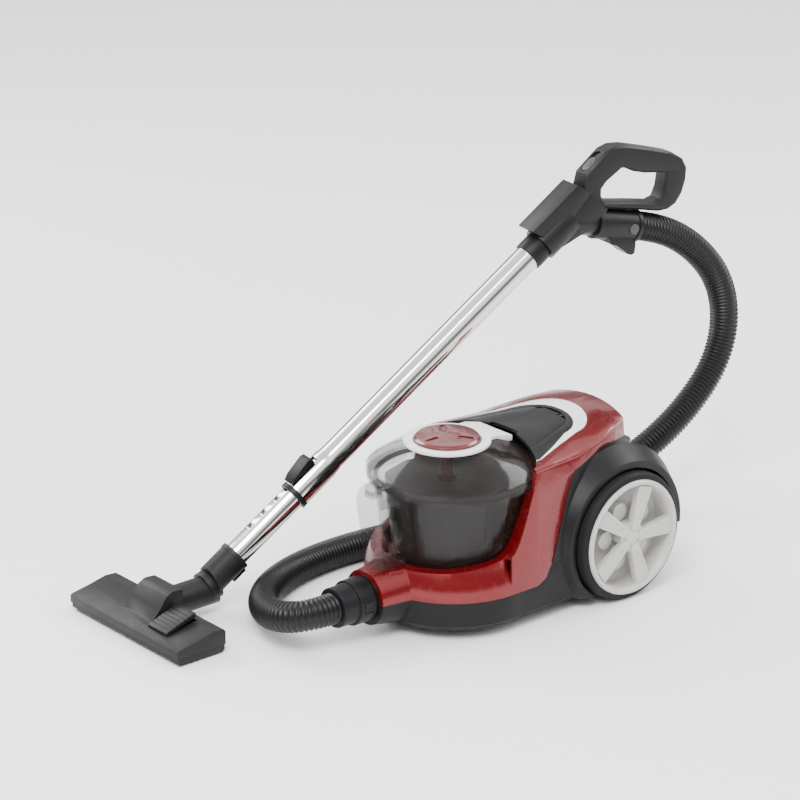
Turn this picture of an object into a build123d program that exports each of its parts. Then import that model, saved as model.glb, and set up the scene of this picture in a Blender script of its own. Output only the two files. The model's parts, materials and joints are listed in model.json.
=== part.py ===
from build123d import *
import math
import os

# The origin is under the middle of the whole object without its hose, on the floor.
# The canister is drawn about the middle of its rear axle and the whole is moved at the end.

# Canister body: half widths and heights at places along its length (front is -Y).
# y, foot half width, strip half width, strip height, crease half width, crease height, crown height
body_stations = (
    (-330, 116, 114.5, 186, 109, 212, 228),
    (-150, 116, 114, 186, 109, 212, 228),
    (-110, 116, 110, 190, 104.5, 212, 230.5),
    (-68, 114, 104.5, 196, 100, 212, 231),
    (-18, 108, 92, 206, 90, 218.6, 232),
    (13.5, 104, 85, 206, 82, 222.6, 236),
    (56, 96, 68, 202, 64, 229, 237),
)
body_half = 116
body_wall = 3
nose_y = -196
nose_z = 54
seam_z = 80
base_bottom = 14
base_wall = 3
base_rear = 98
base_chamfer = 7
screw_radius = 2
screw_head = 2
screw_length = 24
caster_y = -262
caster_plate = 24
caster_stem = 5
caster_radius = 13
caster_width = 14
caster_trail = 9
caster_pin = 2
rear_arc_side = 24
rear_arc_middle = 52
skin_seam_drop = 4

# Black tail of the body behind the red covers.
# y, foot half width, shoulder half width, shoulder height, top half width, top height
tail_stations = (
    (-85, 104, 104, 150, 103, 194),
    (-18, 104, 104, 150, 91, 204),
    (42, 101, 98, 140, 70, 201),
    (75, 97, 93, 120, 68, 163),
    (base_rear, 92, 86, 92, 64, 108),
)

# Wheels
wheel_radius = 88
wheel_z = wheel_radius
tyre_inner_x = 106
tyre_width = 30
tyre_depth = 9
rim_outer_x = 140
rim_depth = 32
rim_ring = 9
rim_hub_radius = 20
spoke_count = 5
spoke_root = 13
spoke_tip = 25
spoke_thick = 9
spoke_back = 3
hub_cap_radius = 11
spoke_first = 18
wheel_axle_radius = 5
axle_inner_x = 88
running_gap = 0.05
wheel_gap = 4
arch_lip = 9
arch_x = 124
arch_root_x = 96
arch_flare = 26

# Dust cup bay and cup
cup_top_radius = 105
cup_bottom_radius = 89
cup_floor = 76
cup_rim = 190
cup_wall = 2.2
cup_flange = 4
cup_floor_thick = 3
lid_radius = 113
lid_shoulder = 105
lid_edge_top = 201
lid_shoulder_top = 208
lid_top = 234.5
lid_wall = 2.2
dome_radius = 57
dome_y = -206
bay_back_y = -283
bay_back_radius = 174
bay_gap = 1.2
bay_wall = 3.5
tray_thick = 5
cup_handle_half = 16
cup_bar = 12
cup_handle_outer = ((-288, 91.5), (-331.6, 91.5), (-346, 188), (-340, 200), (-330, 204), (-290, 204))
cup_gap_bottom = 97
cup_gap_top = 176
knob_radius = 43.6
knob_height = 9
knob_post = 8
ring_height = 4
ring_gap = 0.9
tab_half = 31.5
tab_end_y = -121
shroud_top_radius = 84
shroud_bottom_radius = 72
shroud_lobes = 10
shroud_lobe_depth = 3
shroud_tiers = 4
shroud_bottom = 92
shroud_top = 184
shroud_wall = 2

# Edge of the red side frame seen from the side, as (y, z)
frame_front_edge = ((-150, 262), (-148, 224), (-157, 190), (-170, 152), (-181, 124), (-190, 110),
                    (-204, 102), (-226, 98), (-268, 92), (-330, 88))
frame_rear_edge = ((-150, nose_z), (-136, 61), (-125, seam_z), (-108, 128), (-91, 174), (-84, 188),
                   (-70, 195.5), (-18, 206), (13.5, 206), (60, 202), (60, 262))
lip_thick = 3.5
lip_crease_z = 68
lip_bevel = 9

# Top: outlines seen from above, as (x, y) on one side from front to middle
band_outer_side = ((92, -126), (86, -108), (75.5, -77.5), (64, -36.5))
band_outer_apex = 13.4
band_outer_turn = (44, 0)
band_inner_side = ((91, -127), (78, -95), (58.6, -53.5))
band_inner_apex = -9.6
band_inner_turn = (36, -18)
grab_side = ((63, -130), (62, -106), (40, -38))
grab_apex = -16
grab_turn = (26, -22.5)
skin_thick = 3
grab_gap = 0.5
grab_thick = 5
grab_pin_radius = 1.2
grab_pin_half = 20
grab_pin_y = -20.5
grab_pin_z = 229
grab_barrel_half = 13
grab_barrel_radius = 2.6
well_depth = 28
well_wall = 2.5

# Hose inlet and connector
inlet_z = 55
inlet_front = -345
inlet_radius = 37
inlet_root_radius = 45
inlet_root_y = -296
socket_bore = 23
socket_wall = 3
socket_length = 56
plug_length = 34
connector_gap = 1
connector_collar = 30
connector_step = 26.5
connector_end = -398
connector_step_y = -374

# Inside the tail
motor_x = -34
motor_y = -84
motor_z = 96
motor_radius = 52
motor_length = 84
fan_depth = 16
fan_shaft = 4
reel_x = 32
reel_y = -14
reel_core = 30
reel_radius = 72
reel_width = 46
reel_pin = 5
exhaust_half = 44
exhaust_low = 34
exhaust_height = 66
exhaust_y = 95
pedal_spread = 44
deck_pedal_y = 62
deck_pedal_radius = 15
deck_pedal_top = 186
outlet_x = 66
outlet_y = 90
outlet_z = 62
outlet_radius = 9
shroud_y = -206
button_half = 8

# Hose
hose_radius = 20
hose_bore = 16
hose_points = (
    (0, connector_end, inlet_z), (0, -426, inlet_z), (-20, -450, 50), (-58, -451, 41), (-98, -433, 33), (-138, -402, 27),
    (-172, -358, 22.5), (-194, -300, 21), (-201, -230, 21), (-195, -158, 21), (-184, -86, 21), (-172, -14, 21),
    (-165, 60, 22), (-140, 130, 32), (-111, 196, 53), (-92, 260, 87), (-80, 318, 132), (-72, 364, 187), (-69, 381, 252),
    (-71, 366, 318), (-79, 322, 372),
)
hose_last_run = 45

# Wand: the axis starts at the bend of the head's elbow
head_x = -195.5
bend_y = -465
bend_z = 30
wand_yaw = 8.45
wand_lift = 36.08
cuff_start = 24
cuff_end = 70
cuff_radius = 20.5
lower_tube_radius = 16.75
lower_tube_wall = 1
lower_tube_start = 40
lower_tube_end = 480
ring_start = 177
ring_length = 7
ring_radius = 20.8
swage_radius = 20.2
swage_end = 237
swage_taper = 14
upper_tube_radius = 18.25
upper_tube_wall = 1
slide_gap = 0.1
collar_start = 634
collar_end = 658
collar_radius = 20.8
socket_end = 712
notch_count = 8
notch_pitch = 25

# Handle: side outlines in the upright plane of the wand, as (along, height) from the top of the tube
wand_top = 652.7
handle_half = 21
grip_half = 14
grip_reach = 240
slab_half = 18
grip_chamfer = 3
latch_start = 185
latch_length = 42
latch_half = 11
latch_travel = 6
branch_fall = 12
branch_radius = 17.5
branch_length = 52
cuff_ring_radius = 21.5
cuff_length = 72

# Floor head
head_width = 236
head_front = -586.7
head_rear = -510.3
head_seam = 12
head_front_z = 23.5
head_rear_z = 34
head_wall = 2.5
sole_bottom = 2
hood_half = 27.5
pedal_half = 19.5
pedal_x = head_x + 56
pedal_front = -572
hood_rear = head_front + 74
tilt_y = -532
knuckle_half = 24
knuckle_radius = 17
barrel_start = -532
swivel_ahead = 19
swivel_rise = 6
swivel_radius = 21
swivel_gap = 0.5
head_wheel_y = -520
strip_half = 100
strip_y = -574
strip_tufts = 34
head_wheel_radius = 8


def rod(start, direction, radius, length):
    lying = Plane(origin=start, z_dir=direction)
    return lying * Cylinder(radius, length, align=(Align.CENTER, Align.CENTER, Align.MIN))


def pipe(start, direction, outer, inner, length):
    return rod(start, direction, outer, length) - rod(start, direction, inner, length)


def turned(points, centre, axis):
    """A turned solid: points are (radius, distance along the axis)."""
    along = Vector(*axis).normalized()
    side = Vector(1, 0, 0) if abs(along.Z) > 0.9 else along.cross(Vector(0, 0, 1)).normalized()
    flat = Plane(origin=centre, x_dir=side, z_dir=side.cross(along))
    return revolve(flat * make_face(Polyline(*points, close=True)), axis=Axis(centre, along))


def block(x0, x1, y0, y1, z0, z1):
    corner = (Align.MIN, Align.MIN, Align.MIN)
    return Pos(x0, y0, z0) * Box(x1 - x0, y1 - y0, z1 - z0, align=corner)


def side_prism(points, x0, x1):
    """A solid whose outline is drawn from the side, as (y, z)."""
    flat = Plane(origin=(x0, 0, 0), x_dir=(0, 1, 0), z_dir=(1, 0, 0))
    return extrude(flat * make_face(Polyline(*points, close=True)), amount=x1 - x0)


def mirrored(shape):
    return mirror(shape, about=Plane.YZ)


def main_piece(shape):
    """The shape without the crumbs that cuts leave beside it."""
    return shape.solids().sort_by(SortBy.VOLUME)[-1]


def group(pieces):
    whole = pieces[0]
    for piece in pieces[1:]:
        whole = whole + piece
    return whole


def across(y):
    """A flat frame across the body, with x to the right and y up."""
    return Plane(origin=(0, y, 0), x_dir=(1, 0, 0), z_dir=(0, -1, 0))


def body_section(station, inset, floor_z):
    y, foot, strip, strip_z, crease, crease_z, crown_z = station
    right = [(foot - inset, floor_z), (strip - inset, strip_z), (crease - inset, crease_z - inset)]
    left = [(-x, z) for x, z in reversed(right)]
    outline = Polyline(*left, *right) + ThreePointArc(right[-1], (0, crown_z - inset), left[0])
    return across(y) * make_face(outline)


def crown_section(station):
    y, foot, strip, strip_z, crease, crease_z, crown_z = station
    seam_z_here = crease_z - skin_seam_drop
    share = (crease_z - seam_z_here) / (crease_z - strip_z)
    seam_half = crease + (strip - crease) * share + 0.6
    right = [(seam_half, seam_z_here), (crease + 0.6, crease_z)]
    left = [(-x, z) for x, z in reversed(right)]
    outline = Polyline(*left, *right) + ThreePointArc(right[-1], (0, crown_z + 12), left[0])
    return across(y) * make_face(outline)


def plan_form(inset, floor_z, top_z):
    """Plan of the body: a round nose, straight sides and a bowed back."""
    half = body_half + 4 - inset
    corner_y = rear_arc_side - inset
    straight = Polyline((-half, corner_y), (-half, nose_y), (half, nose_y), (half, corner_y))
    back = ThreePointArc((half, corner_y), (0, rear_arc_middle - inset), (-half, corner_y))
    plan = Pos(0, nose_y) * Circle(body_half - inset) + make_face(straight + back)
    return extrude(Pos(0, 0, floor_z) * plan, amount=top_z - floor_z)


def body_form(inset, floor_z):
    sections = [body_section(station, inset, floor_z) for station in body_stations]
    return loft(sections, ruled=True) & plan_form(inset, floor_z, 270)


def bay_form(grow, floor_z, top_z):
    """Space of the dust cup: a cone with a wider mouth for the lid, flattened behind."""
    slope = (cup_top_radius - cup_bottom_radius) / (cup_rim - cup_floor)
    low = cup_bottom_radius + grow + slope * (floor_z - cup_floor)
    step_z = cup_rim - cup_flange - grow
    profile = ((0, floor_z), (low, floor_z), (cup_top_radius + grow, step_z), (lid_radius + grow, step_z),
               (lid_radius + grow, top_z), (0, top_z))
    cone = turned(profile, (0, nose_y, 0), (0, 0, 1))
    return cone & Pos(0, bay_back_y, floor_z) * Cylinder(
        bay_back_radius + grow, top_z - floor_z, align=(Align.CENTER, Align.CENTER, Align.MIN))


def frame_region(shift):
    """The side frame's region seen from the side; a shift moves the front edge back and opens the rest."""
    front = [(y + shift, z - shift) for y, z in frame_front_edge]
    rear = [(y, z) for y, z in frame_rear_edge]
    floor_line = [(-330 + shift, nose_z - shift)]
    return side_prism(front + floor_line + rear, -130, 130)


def tail_section(station):
    y, foot, shoulder, shoulder_z, top, top_z = station
    right = [(foot, base_bottom), (shoulder, shoulder_z), (top, top_z)]
    left = [(-x, z) for x, z in reversed(right)]
    return across(y) * make_face(Polyline(*left, *right, close=True))


def tail_form(inset):
    narrowed = [(y - (inset if y == base_rear else 0), foot - inset, shoulder - inset, shoulder_z,
                 top - inset, top_z - inset) for y, foot, shoulder, shoulder_z, top, top_z in tail_stations]
    return loft([tail_section(station) for station in narrowed], ruled=True)


def arch_form():
    """One wheel arch: a flared lip around the wheel, open below and behind."""
    inner = wheel_radius + wheel_gap
    profile = ((inner, arch_root_x), (inner, arch_x), (inner + arch_lip, arch_x),
               (inner + arch_flare, arch_root_x))
    ring = turned(profile, (0, 0, wheel_z), (1, 0, 0))
    return ring - block(arch_root_x - 1, 150, 40, 200, -50, seam_z) - block(0, 150, -200, 200, -50, base_bottom)


def wheel_room():
    return rod((arch_root_x, 0, wheel_z), (1, 0, 0), wheel_radius + wheel_gap, 60)


def hollow_form(floor_z):
    return body_form(body_wall, floor_z) - bay_form(bay_wall, floor_z - 1, 280)


def crown_form():
    return loft([crown_section(station) for station in body_stations], ruled=True)


def outline_prism(side_points, turn, apex, front_y, grow=0):
    """Seen from above: two mirrored sides joined by a round back, between z 150 and z 270."""
    side = [(x + grow, y) for x, y in side_points]
    turn_point = (turn[0] + grow * 0.7, turn[1] + grow * 0.7)
    left_turn = (-turn_point[0], turn_point[1])
    front = [(-side[0][0], front_y), (side[0][0], front_y)]
    left = [(-x, y) for x, y in reversed(side)]
    back = Spline(side[-1], turn_point, (0, apex + grow), left_turn, left[0])
    return extrude(Pos(0, 0, 150) * make_face(Polyline(*left, *front, *side) + back), amount=120)


def inlet_neck():
    run = inlet_root_y - inlet_front
    profile = ((0, 0), (inlet_root_radius, 0), (inlet_radius, run), (0, run))
    return turned(profile, (0, inlet_root_y, inlet_z), (0, -1, 0))


def inlet_bore():
    return rod((0, inlet_front - 5, inlet_z), (0, 1, 0), socket_bore + socket_wall, socket_length + 5)


def nose_bevel(depth=0):
    """Space outside the band above the nose crease, which leans inwards."""
    half = body_half - depth
    low = lip_crease_z - depth
    ring = turned(((body_half + 1, low), (body_half + 1, 130), (half - lip_bevel - 6, 130),
                   (half - lip_bevel, 92), (half, low)), (0, nose_y, 0), (0, 0, 1))
    return ring & block(-130, 130, -330, nose_y, nose_z, 130)


def side_frame(crown):
    rim = body_form(0, nose_z)
    hollow = (hollow_form(nose_z - 1) & frame_region(lip_thick)) - nose_bevel(body_wall)
    neck = inlet_neck() & block(-60, 60, -400, -280, nose_z, cup_handle_outer[0][1] - 1)
    frame = (rim & frame_region(0)) - crown - nose_bevel() + neck - hollow + bulkhead() - inlet_bore()
    return main_piece(frame - bay_form(bay_gap, nose_z - 2, 280))


def bulkhead():
    """Wall of the cup bay between the two shells."""
    behind = block(-130, 130, -150, -60, seam_z, 206)
    return bay_form(bay_wall, seam_z, 280) & body_form(body_wall, seam_z) & behind


def band_outside():
    return outline_prism(band_outer_side, band_outer_turn, band_outer_apex, -180)


def band_inside():
    return outline_prism(band_inner_side, band_inner_turn, band_inner_apex, -190)


def top_cover(skin):
    return skin - band_outside()


def trim_band(skin):
    return (skin & band_outside()) - band_inside()


def grab_outline(grow):
    return outline_prism(grab_side, grab_turn, grab_apex, -200, grow)


def top_panel(skin):
    """Dark surround of the carrying handle, with the hand well under it."""
    well_outer = grab_outline(grab_gap + well_wall) & body_form(skin_thick, nose_z) & block(
        -100, 100, -130, 20, 231 - well_depth, 260)
    well_inner = grab_outline(grab_gap) & block(-100, 100, -130, 20, 231 - well_depth + well_wall, 260)
    well = (well_outer - well_inner) - bay_form(bay_wall, cup_floor, 280)
    surround = (skin & band_inside()) - grab_outline(grab_gap)
    return surround + well + pin_blocks() - grab_pin_space()


def grab_pin_space():
    """Room for the hinge barrel, with bores for its pin at both ends."""
    barrel = rod((-grab_barrel_half - 0.5, grab_pin_y, grab_pin_z), (1, 0, 0), grab_barrel_radius + grab_gap,
                 2 * grab_barrel_half + 1)
    return barrel + handle_pin()


def handle_pin():
    return rod((-grab_pin_half, grab_pin_y, grab_pin_z), (1, 0, 0), grab_pin_radius, 2 * grab_pin_half)


def pin_blocks():
    """Blocks of the panel that hold the ends of the hinge pin."""
    blocks = block(grab_barrel_half + 0.5, grab_pin_half, grab_pin_y - 5, grab_pin_y + 8, grab_pin_z - 5, grab_pin_z + 1.4)
    return blocks + mirrored(blocks)


def carry_handle(crown):
    """Flip-up plate in the middle of the dark panel, with its hinge barrel at the back."""
    plate = (body_form(0, nose_z) - body_form(grab_thick, nose_z)) & crown & grab_outline(0)
    plate = plate - bay_form(bay_gap, cup_floor, 280) - finger_slot() - block(-70, 70, grab_pin_y, 40, 150, 260)
    plate = plate - block(-40, -grab_barrel_half - 0.5, grab_pin_y - 6, 40, 150, 260) - block(
        grab_barrel_half + 0.5, 40, grab_pin_y - 6, 40, 150, 260)
    barrel = rod((-grab_barrel_half, grab_pin_y, grab_pin_z), (1, 0, 0), grab_barrel_radius, 2 * grab_barrel_half)
    return plate + barrel - rod((-70, grab_pin_y, grab_pin_z), (1, 0, 0), grab_pin_radius + running_gap, 140)


def finger_slot():
    return block(-26, 26, -130, -104, 200, 260)


def rear_housing():
    """Black shell behind the red frame, with the upper wheel arches."""
    arches = arch_form() + mirrored(arch_form())
    outer = body_form(0, seam_z) + (tail_form(0) & block(-130, 130, -90, 120, seam_z, 260))
    inner = body_form(body_wall, seam_z - 1) - bay_form(bay_wall, cup_floor - 10, 280)
    inner = inner + (tail_form(body_wall) & block(-130, 130, -84, 120, seam_z - 1, 260))
    upper_arches = arches & block(-150, 150, -150, 150, seam_z, 260)
    shell = outer - wheel_room() - mirrored(wheel_room()) + upper_arches - inner
    shell = shell - frame_region(0) - bay_form(bay_wall, seam_z - 20, 280)
    liners = wheel_liner() + mirrored(wheel_liner())
    shell = shell + (liners & block(-150, 150, -150, 150, seam_z, 200))
    shell = shell - exhaust_opening() - pedal_openings() - outlet_opening() - axle_bores()
    return main_piece(shell - block(-130, 130, -400, -140, 40, 280))


def wheel_liner():
    """Inner wall of the wheel well."""
    return rod((arch_root_x - body_wall, 0, wheel_z), (1, 0, 0), wheel_radius + wheel_gap + body_wall, body_wall)


def chassis_base():
    """Black lower shell: nose, wheel wells, tail and the caster socket."""
    half = body_half - 1.5
    plan = Pos(0, nose_y) * Circle(body_half) + Pos(0, (nose_y - 60) / 2) * Rectangle(2 * half, -nose_y - 60)
    inner_plan = Pos(0, nose_y) * Circle(body_half - base_wall) + Pos(0, (nose_y - 60) / 2) * Rectangle(
        2 * (half - base_wall), -nose_y - 60)
    outer = extrude(Pos(0, 0, base_bottom) * plan, amount=seam_z - base_bottom)
    outer = chamfer(outer.faces().sort_by(Axis.Z)[0].edges(), base_chamfer)
    inner = extrude(Pos(0, 0, base_bottom + base_wall) * inner_plan, amount=seam_z)
    arches = (arch_form() + mirrored(arch_form())) & block(-150, 150, -150, 150, base_bottom, seam_z)
    tail = tail_form(0) & block(-130, 130, -90, 120, base_bottom, seam_z)
    tail_inner = tail_form(base_wall) & block(-130, 130, -92, 120, base_bottom + base_wall, seam_z + 1)
    neck = inlet_neck() & block(-60, 60, -400, -280, base_bottom, nose_z)
    body = outer + tail + neck - wheel_room() - mirrored(wheel_room()) + arches - inner - tail_inner
    body = body + ((wheel_liner() + mirrored(wheel_liner())) & block(-150, 150, -150, 150, base_bottom, seam_z))
    body = body - (frame_region(0) & block(-130, 130, -400, 60, nose_z - 1, 270)) - inlet_bore()
    body = body + caster_boss() - caster_room() - axle_bores() - body_screws()
    return body - exhaust_opening() - outlet_opening() - inlet_bore()


def caster_boss():
    return Pos(0, caster_y, base_bottom) * Cylinder(caster_plate + 5, 24, align=(Align.CENTER, Align.CENTER, Align.MIN))


def caster_room():
    return Pos(0, caster_y, base_bottom - 1) * Cylinder(
        caster_plate + 0.5, 22, align=(Align.CENTER, Align.CENTER, Align.MIN)) + rod(
        (0, caster_y, base_bottom), (0, 0, 1), caster_stem + running_gap, 40)


def axle_bores():
    bore = rod((axle_inner_x, 0, wheel_z), (1, 0, 0), wheel_axle_radius, 40)
    return bore + mirrored(bore)


def screw_places():
    return [(x, y) for x in (-62, 62) for y in (-235, -155)]


def body_screw(x, y):
    head = rod((x, y, base_bottom), (0, 0, 1), screw_radius * 2, screw_head)
    return head + rod((x, y, base_bottom), (0, 0, 1), screw_radius, screw_length)


def body_screws():
    return group([body_screw(x, y) for x, y in screw_places()])


def caster_fork():
    """Swivel plate with a stem above and two cheeks that hold the small front wheel."""
    plate = Pos(0, caster_y, base_bottom + 16) * Cylinder(caster_plate, 4, align=(Align.CENTER, Align.CENTER, Align.MIN))
    stem = rod((0, caster_y, base_bottom + 19), (0, 0, 1), caster_stem, 14)
    cheeks = None
    for side in (-1, 1):
        x = side * (caster_width / 2 + 2.2)
        cheek = side_prism(((caster_y - 8, base_bottom + 17), (caster_y + caster_trail + 8, base_bottom + 17),
                            (caster_y + caster_trail + 4, caster_radius - 4),
                            (caster_y + caster_trail - 4, caster_radius - 4)), x - 1.7, x + 1.7)
        cheeks = cheek if cheeks is None else cheeks + cheek
    axle = rod((-caster_width / 2 - 3, caster_y + caster_trail, caster_radius), (1, 0, 0), caster_pin, caster_width + 6)
    return plate + stem + cheeks + axle


def caster_wheel():
    wheel = rod((-caster_width / 2, caster_y + caster_trail, caster_radius), (1, 0, 0), caster_radius, caster_width)
    wheel = fillet(wheel.edges().filter_by(GeomType.CIRCLE), 2)
    return wheel - rod((-20, caster_y + caster_trail, caster_radius), (1, 0, 0), caster_pin + running_gap, 40)


def wheel_axles():
    axle = rod((axle_inner_x, 0, wheel_z), (1, 0, 0), wheel_axle_radius, rim_outer_x - 12 - axle_inner_x)
    collar = rod((arch_root_x + 1, 0, wheel_z), (1, 0, 0), wheel_axle_radius + 5, 3)
    one = axle + collar
    return group([one, mirrored(one)])


def wheel_rim():
    """Deep ring, hub and raised wedge spokes, with round bosses on the web behind."""
    outer = wheel_radius - tyre_depth
    centre = (0, 0, wheel_z)
    inside = rim_outer_x - rim_depth
    ring = turned(((outer, inside), (outer, rim_outer_x - 3), (outer - 1.5, rim_outer_x),
                   (outer - 6, rim_outer_x - 1), (outer - rim_ring, rim_outer_x - 6),
                   (outer - rim_ring - 3, inside + 4), (outer - rim_ring - 3, inside)), centre, (1, 0, 0))
    web = pipe((inside, 0, wheel_z), (1, 0, 0), outer - rim_ring - 2, 12, 3)
    hub = rod((inside, 0, wheel_z), (1, 0, 0), rim_hub_radius, rim_depth - 5)
    rim = ring + web + hub
    for index in range(spoke_count):
        turn = spoke_first + index * 360 / spoke_count
        rim += Pos(0, 0, wheel_z) * Rot(-turn, 0, 0) * spoke()
        rim += Pos(0, 0, wheel_z) * Rot(-turn - 180 / spoke_count, 0, 0) * (
            rod((inside + 2, 0, 36), (1, 0, 0), 12, 12))
    cap = turned(((0, rim_outer_x - 9), (hub_cap_radius, rim_outer_x - 9), (hub_cap_radius, rim_outer_x - 4),
                  (hub_cap_radius - 3, rim_outer_x - 2), (0, rim_outer_x - 1)), centre, (1, 0, 0))
    return rim + cap - rod((0, 0, wheel_z), (1, 0, 0), wheel_axle_radius + running_gap, rim_outer_x - 11)


def spoke():
    """One wedge pointing up, narrow at the hub, with a shallow recess in its face."""
    tip = wheel_radius - tyre_depth - rim_ring
    outside = rim_outer_x - spoke_back
    outline = ((-spoke_root / 2, 10), (spoke_root / 2, 10), (spoke_tip / 2, tip), (-spoke_tip / 2, tip))
    face = ((-spoke_root / 2 + 3, 24), (spoke_root / 2 - 3, 24), (spoke_tip / 2 - 3, tip - 3),
            (-spoke_tip / 2 + 3, tip - 3))
    return side_prism(outline, outside - spoke_thick, outside) - side_prism(face, outside - 1, outside + 1)


def tyre():
    outer = wheel_radius
    inner = wheel_radius - tyre_depth
    end = tyre_inner_x + tyre_width
    return turned(((inner, tyre_inner_x + 3), (inner + 3, tyre_inner_x), (outer - 4, tyre_inner_x),
                   (outer, tyre_inner_x + 5), (outer, end - 7), (outer - 2, end - 2), (outer - 5, end),
                   (inner, end)), (0, 0, wheel_z), (1, 0, 0))


def cup_tray():
    """Deck under the dust cup, on four posts screwed to the chassis floor."""
    tray = cup_shape(-bay_gap, cup_floor - tray_thick, cup_floor - 1)
    low = base_bottom + base_wall
    for x, y in screw_places():
        tray += rod((x, y, low), (0, 0, 1), screw_radius * 3, cup_floor - tray_thick - low)
    return tray - body_screws()


def inlet_socket():
    tube = pipe((0, inlet_front, inlet_z), (0, 1, 0), socket_bore + socket_wall, socket_bore, socket_length)
    return tube + pipe((0, inlet_front - 2, inlet_z), (0, 1, 0), socket_bore + socket_wall + 4, socket_bore, 2)


def motor_case():
    case = rod((motor_x, motor_y, motor_z), (0, 1, 0), motor_radius, motor_length)
    tail = rod((motor_x, motor_y + motor_length, motor_z), (0, 1, 0), motor_radius * 0.62, 34)
    hollow = rod((motor_x, motor_y - 1, motor_z), (0, 1, 0), motor_radius - 3, fan_depth + 3)
    shaft = rod((motor_x, motor_y - 1, motor_z), (0, 1, 0), fan_shaft + running_gap, motor_length)
    return case + tail - hollow - shaft


def motor_fan():
    """Impeller: a back plate with curved blades on its shaft."""
    y = motor_y + 3
    fan = rod((motor_x, y + fan_depth - 6, motor_z), (0, 1, 0), motor_radius - 6, 3)
    fan += rod((motor_x, y, motor_z), (0, 1, 0), 10, fan_depth - 4)
    for index in range(7):
        blade = block(8, motor_radius - 7, 0, fan_depth - 5, -1, 1)
        fan += Pos(motor_x, y, motor_z) * Rot(0, index * 360 / 7, 0) * blade
    return fan + rod((motor_x, y, motor_z), (0, 1, 0), fan_shaft, fan_depth + 50)


def motor_mounts():
    """Rubber rings that hold the motor at both ends."""
    front = pipe((motor_x, motor_y + 4, motor_z), (0, 1, 0), motor_radius + 5, motor_radius, 8)
    back = pipe((motor_x, motor_y + motor_length + 8, motor_z), (0, 1, 0), motor_radius * 0.62 + 5,
                motor_radius * 0.62, 8)
    foot = block(motor_x - 8, motor_x + 8, motor_y + 4, motor_y + 12, base_bottom + base_wall,
                 motor_z - motor_radius - 2)
    heel = block(motor_x - 8, motor_x + 8, motor_y + motor_length + 8, motor_y + motor_length + 16,
                 base_bottom + base_wall, motor_z - motor_radius * 0.62 - 2)
    return group([front + foot, back + heel])


def motor_filter():
    return block(motor_x - 42, motor_x + 42, motor_y - 10, motor_y - 3, base_bottom + base_wall, motor_z + 40)


def cord_reel():
    """Drum with two flanges for the mains cord."""
    drum = rod((reel_x, reel_y, motor_z), (1, 0, 0), reel_core, reel_width)
    for x in (reel_x, reel_x + reel_width - 3):
        drum += rod((x, reel_y, motor_z), (1, 0, 0), reel_radius, 3)
    return drum - rod((reel_x - 5, reel_y, motor_z), (1, 0, 0), reel_pin + running_gap, reel_width + 10)


def reel_frame():
    """Pin and bracket of the cord reel."""
    pin = rod((reel_x - 5, reel_y, motor_z), (1, 0, 0), reel_pin, reel_width + 8)
    arm = block(reel_x - 5, reel_x - 1.5, reel_y - 10, reel_y + 10, base_bottom + base_wall, motor_z + 12)
    return pin + arm


def exhaust_opening():
    return block(-exhaust_half, exhaust_half, 60, 130, exhaust_low, exhaust_low + exhaust_height)


def exhaust_cover():
    """Lift-off grille behind the outlet filter."""
    gap = 0.4
    plate = block(-exhaust_half + gap, exhaust_half - gap, exhaust_y, exhaust_y + 3, exhaust_low + gap,
                  exhaust_low + exhaust_height - gap)
    for index in range(7):
        z = exhaust_low + 7 + index * 8.2
        plate -= block(-exhaust_half + 9, exhaust_half - 9, exhaust_y - 1, exhaust_y + 5, z, z + 3.6)
    return plate


def exhaust_filter():
    gap = 1.5
    body = block(-exhaust_half + gap, exhaust_half - gap, exhaust_y - 22, exhaust_y - 1, exhaust_low + gap,
                 exhaust_low + exhaust_height - gap)
    for index in range(9):
        x = -exhaust_half + 9 + index * (2 * exhaust_half - 18) / 8
        body -= block(x - 1.5, x + 1.5, exhaust_y - 6, exhaust_y + 1, exhaust_low + 5, exhaust_low + exhaust_height - 5)
    return body


def pedal_openings():
    spaces = None
    for side in (-1, 1):
        space = rod((side * pedal_spread, deck_pedal_y, 130), (0, 0, 1), deck_pedal_radius + 0.4, 90)
        spaces = space if spaces is None else spaces + space
    return spaces


def deck_pedal(side):
    """Round foot button on the tail, with a skirt and a spring stem."""
    x = side * pedal_spread
    cap = rod((x, deck_pedal_y, deck_pedal_top - 12), (0, 0, 1), deck_pedal_radius, 12)
    cap = fillet(cap.faces().sort_by(Axis.Z)[-1].edges(), 2)
    return cap + rod((x, deck_pedal_y, deck_pedal_top - 34), (0, 0, 1), 4, 24)


def outlet_opening():
    return rod((outlet_x, base_rear - 40, outlet_z), (0, 1, 0), outlet_radius, 60)


def cord_outlet():
    """Gland where the mains cord leaves the body."""
    sleeve = pipe((outlet_x, outlet_y, outlet_z), (0, 1, 0), outlet_radius, 5, 12)
    return sleeve + pipe((outlet_x, outlet_y + 12, outlet_z), (0, 1, 0), outlet_radius + 2.5, 5, 3)


def cup_shape(inset, floor_z, top_z):
    slope = (cup_top_radius - cup_bottom_radius) / (cup_rim - cup_floor)
    low = cup_bottom_radius - inset + slope * (floor_z - cup_floor)
    high = cup_bottom_radius - inset + slope * (top_z - cup_floor)
    cone = turned(((0, floor_z), (low, floor_z), (high, top_z), (0, top_z)), (0, nose_y, 0), (0, 0, 1))
    return cone & cup_back(inset, floor_z, top_z)


def cup_back(inset, floor_z, top_z):
    return Pos(0, bay_back_y, floor_z) * Cylinder(
        bay_back_radius - inset, top_z - floor_z, align=(Align.CENTER, Align.CENTER, Align.MIN))


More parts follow.
